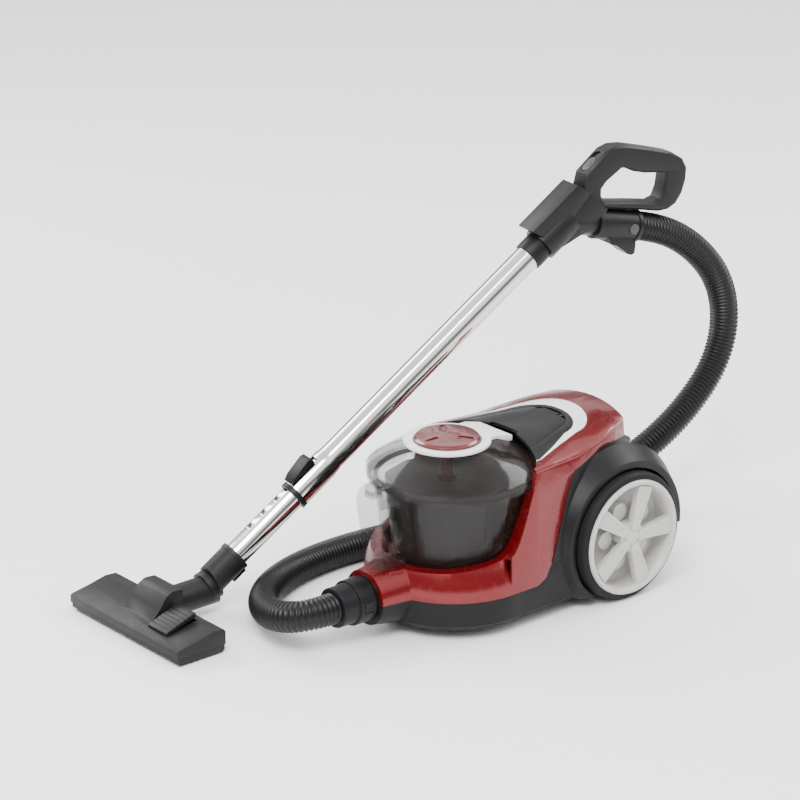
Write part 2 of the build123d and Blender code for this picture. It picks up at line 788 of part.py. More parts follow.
def dust_cup():
    """Clear cup with a grip bar in front."""
    half = cup_handle_half
    slope = (cup_handle_outer[2][0] - cup_handle_outer[1][0]) / (cup_handle_outer[2][1] - cup_handle_outer[1][1])
    bar_low = cup_handle_outer[1][0] + cup_bar + slope * (cup_gap_bottom - cup_handle_outer[1][1])
    bar_high = cup_handle_outer[1][0] + cup_bar + slope * (cup_gap_top - cup_handle_outer[1][1])
    grip = side_prism(cup_handle_outer, -half, half)
    gap = side_prism(((bar_low, cup_gap_bottom), (bar_high, cup_gap_top), (-200, cup_gap_top),
                      (-200, cup_gap_bottom)), -half - 1, half + 1)
    flange = turned(((cup_top_radius - 3, cup_rim - cup_flange), (lid_radius - 1, cup_rim - cup_flange), (lid_radius - 1, cup_rim),
                     (cup_top_radius - 3, cup_rim)), (0, nose_y, 0), (0, 0, 1)) & cup_back(0, 100, 300)
    body = cup_shape(0, cup_floor, cup_rim) + (grip - gap) + flange
    lid_space = turned(((0, cup_rim), (lid_radius + 0.4, cup_rim), (lid_radius + 0.4, 260), (0, 260)),
                       (0, nose_y, 0), (0, 0, 1))
    button_slot = block(-button_half - 0.4, button_half + 0.4, -338, -322, 190, 210)
    return body - cup_shape(cup_wall, cup_floor + cup_floor_thick, cup_rim + 10) - lid_space - button_slot


def cup_button():
    """Thumb catch on top of the grip bar."""
    body = block(-button_half, button_half, -337.6, -322.4, 194, 207)
    return chamfer(body.faces().sort_by(Axis.Z)[-1].edges(), 1.5)


def lid_form(inset):
    back = cup_back(inset, cup_rim, 260)
    profile = ((0, cup_rim + inset), (lid_radius - inset, cup_rim + inset), (lid_radius - inset, lid_edge_top),
               (lid_shoulder - inset, lid_shoulder_top - inset), (82, 221.5 - inset), (dome_radius, 233 - inset),
               (0, lid_top - inset))
    return turned(profile, (0, nose_y, 0), (0, 0, 1)) & back


def cup_lid():
    """Clear domed lid with a flat round seat for the ring and knob."""
    outer = lid_form(0) + Pos(0, dome_y, lid_top - 10) * Cylinder(
        dome_radius, 10, align=(Align.CENTER, Align.CENTER, Align.MIN))
    inner = lid_form(lid_wall) + (turned(((0, cup_rim - 1), (lid_shoulder - 8, cup_rim - 1),
                                          (lid_shoulder - 8, cup_rim + 5), (0, cup_rim + 5)),
                                         (0, nose_y, 0), (0, 0, 1)) & cup_back(10, cup_rim - 1, 260))
    inner = inner - Pos(0, dome_y, lid_top - lid_wall) * Cylinder(
        dome_radius + 4, 30, align=(Align.CENTER, Align.CENTER, Align.MIN))
    return outer - inner - rod((0, dome_y, 180), (0, 0, 1), knob_post + 0.3, 80)


def lid_seal():
    outer = cup_shape(cup_wall + 0.3, cup_rim - 5, cup_rim)
    return outer - cup_shape(cup_wall + 4, cup_rim - 6, cup_rim + 1)


def lid_ring():
    """Light ring round the knob with a tab towards the back."""
    ring = pipe((0, dome_y, lid_top), (0, 0, 1), dome_radius, knob_radius + ring_gap, ring_height)
    tab = side_prism(((-170, lid_top + ring_height), (-148, lid_top + ring_height), (tab_end_y, 231.5),
                      (tab_end_y, 224), (-170, 228)), -tab_half, tab_half)
    tab = tab - rod((0, dome_y, 200), (0, 0, 1), dome_radius - 2, 60)
    flat_seat = Pos(0, dome_y, lid_top - 10) * Cylinder(dome_radius, 10, align=(Align.CENTER, Align.CENTER, Align.MIN))
    return ring + (tab - lid_form(0) - flat_seat)


def lid_knob():
    """Twist knob with three finger dents and a post through the lid."""
    bottom = lid_top + 0.3
    knob = turned(((0, bottom), (knob_radius, bottom), (knob_radius, bottom + knob_height - 3),
                   (knob_radius - 3, bottom + knob_height - 0.5), (30, bottom + knob_height),
                   (0, bottom + knob_height + 0.5)), (0, dome_y, 0), (0, 0, 1))
    for index in range(3):
        turn = 30 + index * 120
        dent = Pos(0, dome_y, 0) * Rot(0, 0, turn) * block(16, 36, -3, 3, bottom + knob_height - 2, bottom + 20)
        knob -= dent
    knob += rod((0, dome_y, shroud_top + 2), (0, 0, 1), knob_post, bottom - shroud_top)
    return knob


def shroud_outline(radius):
    points = []
    for index in range(shroud_lobes * 2):
        turn = math.radians(index * 180 / shroud_lobes)
        reach = radius - (shroud_lobe_depth if index % 2 else 0)
        points.append((reach * math.cos(turn), reach * math.sin(turn)))
    return make_face(Spline(*points, periodic=True))


def cyclone_shroud():
    """Dark lobed body inside the cup, in stepped tiers."""
    tier_height = (shroud_top - shroud_bottom) / shroud_tiers
    body = None
    for tier in range(shroud_tiers):
        share = (tier + 0.5) / shroud_tiers
        radius = shroud_bottom_radius + (shroud_top_radius - shroud_bottom_radius) * share
        start = Pos(0, shroud_y, shroud_bottom + tier * tier_height)
        ring = extrude(start * shroud_outline(radius), amount=tier_height)
        body = ring if body is None else body + ring
    core = Pos(0, shroud_y, shroud_bottom - 1) * Cylinder(
        shroud_bottom_radius - 6, shroud_top - shroud_bottom - 2, align=(Align.CENTER, Align.CENTER, Align.MIN))
    return body - core - rod((0, dome_y, shroud_top - 10), (0, 0, 1), knob_post + 4, 20)


def mesh_filter():
    return pipe((0, shroud_y, shroud_bottom + 6), (0, 0, 1), 44, 41, shroud_top - shroud_bottom - 10)


wand_direction = Vector(math.cos(math.radians(wand_lift)) * math.sin(math.radians(wand_yaw)),
                        math.cos(math.radians(wand_lift)) * math.cos(math.radians(wand_yaw)),
                        math.sin(math.radians(wand_lift)))
wand_along = Vector(math.sin(math.radians(wand_yaw)), math.cos(math.radians(wand_yaw)), 0)
wand_side = wand_along.cross(Vector(0, 0, 1))
bend = Vector(head_x, bend_y, bend_z)
handle_corner = bend + wand_direction * wand_top


def wand_point(distance):
    return bend + wand_direction * distance


def wand_rod(start, end, radius):
    return rod(wand_point(start), wand_direction, radius, end - start)


def wand_turned(points):
    """Turned about the wand: points are (radius, distance from the bend)."""
    return turned(points, bend, wand_direction)


def handle_plate(outline, half):
    """A solid drawn in the upright plane of the wand, as (along, height) from the top of the tube."""
    flat = Plane(origin=handle_corner - wand_side * half, x_dir=wand_along, z_dir=wand_side)
    return extrude(flat * make_face(Polyline(*outline, close=True)), amount=2 * half)


def handle_place(along, height):
    return handle_corner + wand_along * along + Vector(0, 0, height)


def upper_tube():
    outer = upper_tube_radius
    swage = swage_radius
    inner_swage = swage - upper_tube_wall
    inner = outer - upper_tube_wall
    tube = wand_turned(((inner_swage, ring_start + ring_length), (swage, ring_start + ring_length), (swage, swage_end),
                        (outer, swage_end + swage_taper), (outer, collar_start + 60), (inner, collar_start + 60),
                        (inner, swage_end + swage_taper), (inner_swage, swage_end)))
    return tube - latch_space(0.4)


def latch_space(gap):
    """Slot in the tube's upper side for the latch slider and its travel."""
    start = wand_point(latch_start - gap) + wand_up() * 18
    flat = Plane(origin=start, x_dir=wand_side, z_dir=wand_direction)
    opening = flat * Rectangle(latch_half * 2 + 2 * gap - 8, 30)
    return extrude(opening, amount=latch_length + latch_travel + 2 * gap)


def wand_up():
    return wand_side.cross(wand_direction)


def tube_ring():
    """Plastic guide ring in the mouth of the upper tube."""
    inner = lower_tube_radius + slide_gap
    swage_inner = swage_radius - upper_tube_wall
    return wand_turned(((inner, ring_start), (ring_radius, ring_start), (ring_radius, ring_start + ring_length),
                        (swage_inner, ring_start + ring_length), (swage_inner, latch_start - 1.5),
                        (inner, latch_start - 1.5)))


def latch_slider():
    """Sprung slider that frees the telescopic tube."""
    low, high = latch_start, latch_start + latch_length
    up = wand_up()
    flat = Plane(origin=bend - wand_side * latch_half, x_dir=wand_direction, z_dir=wand_side)
    top = ((low, swage_radius + 0.4), (low, swage_radius + 1), (low + 8, swage_radius + 5),
           (high - 6, swage_radius + 10), (high, swage_radius + 8), (high, swage_radius + 0.4))
    sign = 1 if flat.y_dir.dot(up) > 0 else -1
    body = extrude(flat * make_face(Polyline(*[(x, sign * z) for x, z in top], close=True)), amount=2 * latch_half)
    foot_plane = Plane(origin=bend - wand_side * (latch_half - 5), x_dir=wand_direction, z_dir=wand_side)
    foot = ((low + 6, lower_tube_radius + 0.5), (low + 6, swage_radius + 1), (high - 8, swage_radius + 1),
            (high - 8, lower_tube_radius + 0.5))
    return body + extrude(foot_plane * make_face(Polyline(*[(x, sign * z) for x, z in foot], close=True)),
                          amount=2 * (latch_half - 5))


def lower_tube():
    outer = lower_tube_radius
    tube = wand_turned(((outer - lower_tube_wall, lower_tube_start), (outer, lower_tube_start),
                        (outer, lower_tube_end), (outer - lower_tube_wall, lower_tube_end)))
    up = wand_up()
    for index in range(notch_count):
        place = wand_point(105 + index * notch_pitch) + up * (outer + 0.4)
        tube -= rod(place - wand_side * 12, wand_side, 1.2, 24)
    return tube


def tube_collar():
    inner = upper_tube_radius
    return wand_turned(((inner, collar_start), (collar_radius, collar_start), (collar_radius, collar_end),
                        (inner, collar_end)))


def handle_body():
    """Socket for the tube, the web above it, and the branch for the hose."""
    socket = wand_turned(((0, collar_end), (collar_radius + 3.5, collar_end), (collar_radius + 3.5, socket_end),
                          (0, socket_end)))
    web = handle_plate(((4, 0), (20, -4), (66, 14), (90, 20), (104, 42), (72, 66), (60, 62), (4, 14)), handle_half - 4)
    branch_start = handle_place(40, 31)
    branch = rod(branch_start, branch_direction(), branch_radius, branch_length)
    tube_room = wand_rod(collar_end - 1, collar_start + 60, upper_tube_radius)
    air_way = wand_rod(collar_start + 60 - 1, socket_end - 6, 15)
    branch_bore = rod(branch_start + branch_direction() * 4, branch_direction(), hose_bore, 80)
    cuff_room = rod(branch_start + branch_direction() * branch_length, branch_direction(), cuff_ring_radius + 0.5, 60)
    body = socket + web + branch - tube_room - air_way - branch_bore - cuff_room
    return main_piece(body - handle_top_solid() - grip_solid())


def branch_direction():
    tilt = math.radians(branch_fall)
    return wand_along * math.cos(tilt) - Vector(0, 0, math.sin(tilt))


def grip_solid():
    outer = make_face(Polyline((62, 66), (70, 95), (103, 122), (118, 126.5), (138, 125), (174, 116), (213, 105),
                               (232, 93), (grip_reach, 79), (grip_reach - 1, 62), (233, 44), (223, 30), (210, 24), (194, 23.5),
                               (165, 29.6), (103, 41.5), (84, 48), close=True))
    inner = make_face(Polyline((129, 94), (104, 78.5), (96.5, 69.5), (96.5, 60), (102, 51), (148, 44), (185, 37.5),
                               (196, 41), (202, 55), (205, 77), (168, 82), (149, 87), (134, 94.5), close=True))
    flat = Plane(origin=handle_corner - wand_side * grip_half, x_dir=wand_along, z_dir=wand_side)
    grip = extrude(flat * (outer - inner), amount=2 * grip_half)
    edges = [edge for face in (grip.faces().sort_by(Axis(handle_corner, wand_side))[0],
                               grip.faces().sort_by(Axis(handle_corner, wand_side))[-1]) for edge in face.edges()]
    return chamfer(edges, grip_chamfer)


def handle_top_solid():
    """Upper cover that runs along the top of the socket."""
    return handle_plate(((-19, 29.6), (53.4, 83.3), (70, 73), (74.7, 69.3), (16.4, 7.6)), slab_half)


def handle_grip():
    return grip_solid() - handle_top_solid() - slider_track()


def handle_top():
    return handle_top_solid() - wand_rod(collar_start - 20, collar_start + 60, collar_radius + 0.2)


def slider_frame():
    """Plane on the slope above the handle: x along the slope, z out of it."""
    along = (handle_place(103, 122) - handle_place(70, 95)).normalized()
    return Plane(origin=handle_place(70, 95) + along * 4, x_dir=along, z_dir=along.cross(wand_side) * -1)


def slider_track():
    flat = slider_frame()
    out = 1 if flat.z_dir.Z > 0 else -1
    return extrude(flat * Pos(17, 0) * SlotOverall(36, 15), amount=-3 * out) + extrude(
        flat * Pos(17, 0) * SlotOverall(36, 15), amount=3 * out)


def suction_slider():
    flat = slider_frame()
    out = 1 if flat.z_dir.Z > 0 else -1
    plate = extrude(flat * Pos(12, 0) * SlotOverall(24, 14), amount=-2.6 * out)
    return plate + extrude(flat * Pos(12, 0) * SlotOverall(9, 8), amount=1 * out)


def hose_cuff():
    """Swivel cuff at the handle end of the hose, with a lobe below."""
    start = cuff_start_point()
    barrel = rod(start, branch_direction(), cuff_ring_radius, cuff_length)
    flare = rod(start + branch_direction() * (cuff_length - 6), branch_direction(), cuff_ring_radius + 1.5, 6)
    lobe = handle_plate(((112, -2), (112, -10), (124, -15), (135, -23), (142, -29.5), (149, -32), (154, -30),
                         (155.5, -20), (155.5, 0)), 13)
    spigot = rod(start - branch_direction() * 14, branch_direction(), hose_bore - running_gap, 16)
    cuff = barrel + flare + lobe + spigot
    cuff -= rod(start - branch_direction() * 20, branch_direction(), hose_bore - 2.5, cuff_length + 40)
    return cuff - cuff_pins()


def cuff_pins():
    """Round caps at both sides of the hose cuff."""
    pins = []
    for side in (-1, 1):
        place = handle_place(146.5, 7.6) + wand_side * side * (hose_bore + 2)
        pins.append(rod(place, wand_side * side, 7.3, cuff_ring_radius - hose_bore - 1))
    return group(pins)


def cuff_start_point():
    return handle_place(40, 31) + branch_direction() * (branch_length + 0.5)


def hose_route():
    mouth = cuff_start_point() + branch_direction() * cuff_length
    return (*hose_points, mouth + branch_direction() * hose_last_run, mouth)


def hose():
    route = hose_route()
    path = FilletPolyline(*route, radius=hose_radii(route))
    section = Plane(origin=hose_points[0], z_dir=path % 0) * Circle(hose_radius)
    return sweep(section, path=path)


def hose_radii(points):
    radii = []
    for before, corner, after in zip(points, points[1:], points[2:]):
        first = Vector(*corner) - Vector(*before)
        second = Vector(*after) - Vector(*corner)
        turn = math.radians(first.get_angle(second))
        radii.append(0.45 * min(first.length, second.length) / math.tan(turn / 2))
    return radii


def hose_connector():
    """Stepped plug that swivels in the inlet."""
    step = inlet_front - 2 - connector_gap
    plug = rod((0, step, inlet_z), (0, 1, 0), socket_bore - 0.3, plug_length)
    collar = rod((0, connector_step_y, inlet_z), (0, 1, 0), connector_collar, step - connector_step_y)
    tail = rod((0, connector_end, inlet_z), (0, 1, 0), connector_step, connector_step_y - connector_end)
    body = plug + collar + tail
    for side in (-1, 1):
        body -= connector_button_space(side, 0.4)
    return body - rod((0, connector_end - 1, inlet_z), (0, 1, 0), hose_bore, 120)


def connector_button_space(side, gap):
    return block(side * (connector_collar - 4) - 4 - gap, side * (connector_collar - 4) + 4 + gap,
                 connector_step_y + 6 - gap, connector_step_y + 20 + gap, inlet_z - 7 - gap, inlet_z + 7 + gap)


def connector_button(side):
    solid = block(side * (connector_collar - 3.5) - 3.2, side * (connector_collar - 3.5) + 3.2,
                  connector_step_y + 6, connector_step_y + 20, inlet_z - 7, inlet_z + 7)
    return chamfer(solid.edges().filter_by(Axis.Y), 1)


def swivel_direction():
    return (wand_direction + Vector(0, 1, 0)).normalized()


def tube_cuff():
    """Upper half of the elbow: a socket for the lower tube, cut off along the swivel plane."""
    body = wand_rod(-40, cuff_end, cuff_radius)
    keep = rod(swivel_point(), swivel_direction(), 200, 200)
    lip = wand_rod(cuff_end - 6, cuff_end, cuff_radius + 1)
    clip = park_clip()
    collar = rod(swivel_point(), swivel_direction(), swivel_radius, 6)
    return (body & keep) + lip + clip + collar - wand_rod(lower_tube_start, cuff_end + 1, lower_tube_radius) - wand_rod(
        -60, lower_tube_start + 1, 14)


def swivel_point():
    return bend + Vector(0, swivel_ahead, swivel_rise)


def park_clip():
    """Hook under the cuff that hangs the wand on the canister."""
    up = wand_up()
    start = wand_point(cuff_end - 26) - up * (cuff_radius - 1)
    flat = Plane(origin=start, x_dir=wand_side, z_dir=wand_direction)
    sign = -1 if flat.y_dir.dot(up) > 0 else 1
    return extrude(flat * Pos(0, sign * 2.5) * Rectangle(12, 7), amount=22)


def elbow():
    """Lower half of the elbow: a barrel that leaves the head and ends at the swivel ring."""
    barrel = rod((head_x, barrel_start, bend_z), (0, 1, 0), cuff_radius - 0.5, 140)
    keep = rod(swivel_point() - swivel_direction() * (200 + swivel_gap), swivel_direction(), 200, 200)
    ring = rod(swivel_point() - swivel_direction() * (10 + swivel_gap), swivel_direction(), swivel_radius + 1, 10)
    knuckle = rod((head_x - knuckle_half, tilt_y, bend_z - 2), (1, 0, 0), knuckle_radius, 2 * knuckle_half)
    body = (barrel & keep) + ring + knuckle
    pins = rod((head_x - hood_half - 2.5, tilt_y, bend_z - 2), (1, 0, 0), 4, 2 * hood_half + 5)
    return body + pins - rod((head_x, barrel_start + 8, bend_z), (0, 1, 0), 13, 200)


def head_shell_form(inset, low):
    rise = (head_rear_z - head_front_z)
    outline = ((head_front + inset, low), (head_front + inset, head_front_z - 2 - inset),
               (head_front + 3 + inset, head_front_z - inset), (head_front + 30, head_front_z + rise * 0.45 - inset),
               (head_rear - 20, head_rear_z - inset), (head_rear - 3 - inset, head_rear_z - 1 - inset),
               (head_rear - inset, head_rear_z - 4 - inset), (head_rear - inset, low))
    half = head_width / 2 - inset
    return side_prism(outline, head_x - half, head_x + half)


def head_upper():
    """Top shell of the floor head with the hood over the elbow."""
    shell = head_shell_form(0, head_seam) - head_shell_form(head_wall, head_seam - 1)
    hood_outline = ((head_front + 12, head_front_z - 2), (head_front + 26, head_front_z + 5),
                    (head_front + 38, head_front_z + 17), (head_front + 48, head_front_z + 31),
                    (head_front + 58, head_front_z + 36), (hood_rear, head_front_z + 35),
                    (hood_rear, head_front_z + 31), (hood_rear + 2, head_seam), (head_front + 20, head_seam))
    hood = side_prism(hood_outline, head_x - hood_half - 3, head_x + hood_half + 3)
    room = side_prism(((head_front + 26, head_seam - 1), (head_front + 31, head_front_z + 7),
                       (head_front + 42, head_front_z + 19), (head_front + 50, head_front_z + 29),
                       (head_front + 60, head_front_z + 32.5),
                       (hood_rear + 10, head_front_z + 32.5), (hood_rear + 10, head_seam - 1)),
                      head_x - hood_half + 1, head_x + hood_half - 1)
    pin_holes = rod((head_x - hood_half - 10, tilt_y, bend_z - 2), (1, 0, 0), 4 + running_gap, 2 * hood_half + 20)
    pedal_slot = block(pedal_x - pedal_half - 0.5, pedal_x + pedal_half + 0.5, pedal_front - 0.5, pedal_front + 49,
                       head_seam + 2, 70)
    return shell + hood - room - pin_holes - pedal_slot - head_wheel_rooms()


def head_wheel_places():
    return (head_x - 92, head_x + 92)


def head_wheel_rooms():
    rooms = None
    for x in head_wheel_places():
        room = rod((x - 6.5, head_wheel_y, head_wheel_radius), (1, 0, 0), head_wheel_radius + 1.5, 13)
        rooms = room if rooms is None else rooms + room
    return rooms


def sole_plate():
    outline = ((head_front + 2, head_seam), (head_front + 2, sole_bottom + 3), (head_front + 6, sole_bottom),
               (head_rear - 4, sole_bottom), (head_rear - 1, sole_bottom + 3), (head_rear - 1, head_seam))
    half = head_width / 2 - 1
    plate = side_prism(outline, head_x - half, head_x + half)
    hollow = block(head_x - half + 3, head_x + half - 3, head_front + 8, head_rear - 6, sole_bottom + 3, head_seam + 1)
    mouth = block(head_x - half + 16, head_x + half - 16, -562, -546, 0, head_seam + 1)
    slot = block(head_x - strip_half - 0.5, head_x + strip_half + 0.5, strip_y - 0.5, strip_y + 6.5, 0, head_seam + 1)
    posts = None
    for side in (-1, 1):
        post = block(head_x + side * 50 - 4, head_x + side * 50 + 4, -538, -532, sole_bottom, head_seam)
        posts = post if posts is None else posts + post
    axle_clips = None
    for x in head_wheel_places():
        for side in (-1, 1):
            clip = block(x + side * 9 - 1.5, x + side * 9 + 1.5, head_wheel_y - 4, head_wheel_y + 4, sole_bottom + 2,
                         head_seam - 0.5)
            axle_clips = clip if axle_clips is None else axle_clips + clip
    axles = rod((head_wheel_places()[0] - 12, head_wheel_y, head_wheel_radius), (1, 0, 0), 2, 210)
    notch = block(head_x - knuckle_half - 1, head_x + knuckle_half + 1, head_rear - 10, head_rear + 1, sole_bottom + 3,
                  head_seam + 1)
    return plate - hollow - mouth - slot - notch + posts + axle_clips - axles - head_wheel_rooms()


def head_axles():
    return group([rod((x - 10.5, head_wheel_y, head_wheel_radius), (1, 0, 0), 2, 21) for x in head_wheel_places()])


def head_wheels():
    pieces = []
    for x in head_wheel_places():
        wheel = rod((x - 5, head_wheel_y, head_wheel_radius), (1, 0, 0), head_wheel_radius, 10)
        pieces.append(wheel - rod((x - 6, head_wheel_y, head_wheel_radius), (1, 0, 0), 2 + running_gap, 12))
    return group(pieces)


def brush_strip():
    """Bristle strip in its holder, raised inside the sole."""
    holder = block(head_x - strip_half, head_x + strip_half, strip_y, strip_y + 6, sole_bottom + 3, head_seam - 2)
    comb = None
    for index in range(strip_tufts):
        x = head_x - strip_half + 4 + index * (2 * strip_half - 8) / (strip_tufts - 1)
        tuft = block(x - 2, x + 2, strip_y + 1.5, strip_y + 4.5, sole_bottom + 0.5, sole_bottom + 3)
        comb = tuft if comb is None else comb + tuft
    return holder + comb


def foot_pedal():
    """Ribbed wedge that lowers the brush strip."""
    z = head_front_z
    outline = [(pedal_front, z + 1), (pedal_front, z + 5)]
    for index in range(7):
        y = pedal_front + 3 + index * 6
        height = z + 6 + index * 2.1
        outline += [(y, height + 1.2), (y + 4, height + 2.4), (y + 4, height + 1.2)]
    outline += [(pedal_front + 47, z + 21), (pedal_front + 47, z + 15)]
    return side_prism(outline, pedal_x - pedal_half, pedal_x + pedal_half)


def canister_nodes():
    crown = crown_form()
    skin = (body_form(0, nose_z) - hollow_form(nose_z - 1)) & crown & block(-130, 130, -150, 60, 150, 270)
    skin = skin - bay_form(bay_gap, cup_floor, 280)
    return {
        "chassis_base": chassis_base(),
        "rear_housing": rear_housing(),
        "side_frame": side_frame(crown),
        "top_cover": top_cover(skin),
        "trim_band": trim_band(skin),
        "top_panel": top_panel(skin),
        "carry_handle": carry_handle(crown),
        "handle_pin": handle_pin(),
        "body_screws": body_screws(),
        "caster_fork": caster_fork(),
        "caster_wheel": caster_wheel(),
        "wheel_axles": wheel_axles(),
        "wheel_rim_right": wheel_rim(),
        "wheel_rim_left": mirrored(wheel_rim()),
        "tyre_right": tyre(),
        "tyre_left": mirrored(tyre()),
        "cup_tray": cup_tray(),
        "inlet_socket": inlet_socket(),
        "motor_case": motor_case(),
        "motor_fan": motor_fan(),
        "motor_mounts": motor_mounts(),
        "motor_filter": motor_filter(),
        "cord_reel": cord_reel(),
        "reel_frame": reel_frame(),
        "exhaust_cover": exhaust_cover(),
        "exhaust_filter": exhaust_filter(),
        "power_pedal": deck_pedal(1),
        "rewind_pedal": deck_pedal(-1),
        "cord_outlet": cord_outlet(),
        "dust_cup": dust_cup(),
        "cup_button": cup_button(),
        "cup_lid": cup_lid(),
        "lid_seal": lid_seal(),
        "lid_ring": lid_ring(),
        "lid_knob": lid_knob(),
        "cyclone_shroud": cyclone_shroud(),
        "mesh_filter": mesh_filter(),
        "hose": hose(),
        "hose_connector": hose_connector(),
        "connector_button_right": connector_button(1),
        "connector_button_left": connector_button(-1),
    }


def wand_nodes():
    return {
        "upper_tube": upper_tube(),
        "tube_ring": tube_ring(),
        "latch_slider": latch_slider(),
        "lower_tube": lower_tube(),
        "tube_collar": tube_collar(),
        "handle_body": handle_body(),
        "handle_grip": handle_grip(),
        "handle_top": handle_top(),
        "suction_slider": suction_slider(),
        "hose_cuff": hose_cuff(),
        "cuff_pins": cuff_pins(),
        "tube_cuff": tube_cuff(),
        "elbow": elbow(),
        "head_upper": head_upper(),
        "sole_plate": sole_plate(),
        "brush_strip": brush_strip(),
        "foot_pedal": foot_pedal(),
        "head_wheels": head_wheels(),
        "head_axles": head_axles(),
    }


def origin_shift():
    """From the rear axle's middle to the middle of the whole object without its hose."""
    grip_end = handle_place(grip_reach, 0).Y - wand_side.Y * (grip_half - grip_chamfer)
    left_end = head_x - head_width / 2
    return Vector(-(left_end + rim_outer_x) / 2, -(head_front + grip_end) / 2, 0)


def write_parts():
    os.makedirs("parts", exist_ok=True)
    shift = Location(origin_shift())
    for name, solid in {**canister_nodes(), **wand_nodes()}.items():
        export_step(shift * solid, f"parts/{name}.step")


write_parts()
print("hose bend radii", [round(radius) for radius in hose_radii(hose_route())])
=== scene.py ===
import json
import math
import bmesh
import bpy
from mathutils import Matrix, Vector


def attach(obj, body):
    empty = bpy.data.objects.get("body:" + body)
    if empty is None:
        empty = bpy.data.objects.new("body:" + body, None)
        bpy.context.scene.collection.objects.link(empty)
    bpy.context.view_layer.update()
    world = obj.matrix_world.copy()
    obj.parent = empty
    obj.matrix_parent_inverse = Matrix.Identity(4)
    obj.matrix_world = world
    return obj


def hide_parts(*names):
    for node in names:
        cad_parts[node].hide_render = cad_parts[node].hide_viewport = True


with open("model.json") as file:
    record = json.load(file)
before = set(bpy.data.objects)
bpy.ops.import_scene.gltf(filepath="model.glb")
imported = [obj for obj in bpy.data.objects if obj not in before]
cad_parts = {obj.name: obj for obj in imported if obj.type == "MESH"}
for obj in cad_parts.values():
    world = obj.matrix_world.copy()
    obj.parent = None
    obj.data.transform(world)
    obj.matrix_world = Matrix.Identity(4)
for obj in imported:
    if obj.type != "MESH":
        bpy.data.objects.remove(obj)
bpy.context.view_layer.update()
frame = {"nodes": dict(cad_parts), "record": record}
record = frame["record"]

# canister sizes below are measured from the middle of the rear axle, in millimetres
axleShift = Vector((86.75, 145.453, 0))


def place(x, y, z):
    return (Vector((x, y, z)) + axleShift) / 1000


def link(thing):
    bpy.context.scene.collection.objects.link(thing)
    return thing


# camera in canister millimetres
cameraSettings = {"spot": (2710.908, -2587.323, 1625.502), "lens": 135.0,
                  "right": (0.6472, 0.7623, 0), "up": (-0.2644, 0.2245, 0.9379)}


def makeCamera(settings):
    right = Vector(settings["right"]).normalized()
    up = Vector(settings["up"])
    up = (up - right * up.dot(right)).normalized()
    back = right.cross(up)
    camera = bpy.data.objects.new("camera", bpy.data.cameras.new("camera"))
    link(camera)
    camera.data.lens = settings["lens"]
    camera.data.clip_end = 50
    turn = Matrix((right, up, back)).transposed().to_4x4()
    camera.matrix_world = Matrix.Translation(place(*settings["spot"])) @ turn
    bpy.context.scene.camera = camera


makeCamera(cameraSettings)
print("camera placed")


# a shader output that does arithmetic
class Wire:
    def __init__(self, shade, socket):
        self.shade = shade
        self.socket = socket

    def math(self, kind, first, second=None):
        return self.shade.math(kind, first, second)

    def __add__(self, other):
        return self.math("ADD", self, other)

    def __mul__(self, other):
        return self.math("MULTIPLY", self, other)

    def __sub__(self, other):
        return self.math("SUBTRACT", self, other)

    def __rsub__(self, other):
        return self.math("SUBTRACT", other, self)

    def __pow__(self, other):
        return self.math("POWER", self, other)


class Shade:
    def __init__(self, tree):
        self.tree = tree
        tree.nodes.clear()

    def put(self, value, socket):
        if isinstance(value, Wire):
            self.tree.links.new(value.socket, socket)
        else:
            socket.default_value = value

    def node(self, kind, out=0, inputs=(), **settings):
        made = self.tree.nodes.new(kind)
        for name, value in settings.items():
            setattr(made, name, value)
        for name, value in dict(inputs).items():
            self.put(value, made.inputs[name])
        return made if out is None else Wire(self, made.outputs[out])

    def math(self, kind, first, second=None):
        made = self.tree.nodes.new("ShaderNodeMath")
        made.operation = kind
        self.put(first, made.inputs[0])
        if second is not None:
            self.put(second, made.inputs[1])
        return Wire(self, made.outputs[0])

    def noise(self, where, scale, detail=3.0):
        return self.node("ShaderNodeTexNoise", "Fac", {"Vector": where, "Scale": scale, "Detail": detail})

    def mixColor(self, share, first, second):
        made = self.tree.nodes.new("ShaderNodeMix")
        made.data_type = "RGBA"
        self.put(share, made.inputs[0])
        self.put(first, made.inputs[6])
        self.put(second, made.inputs[7])
        return Wire(self, made.outputs[2])


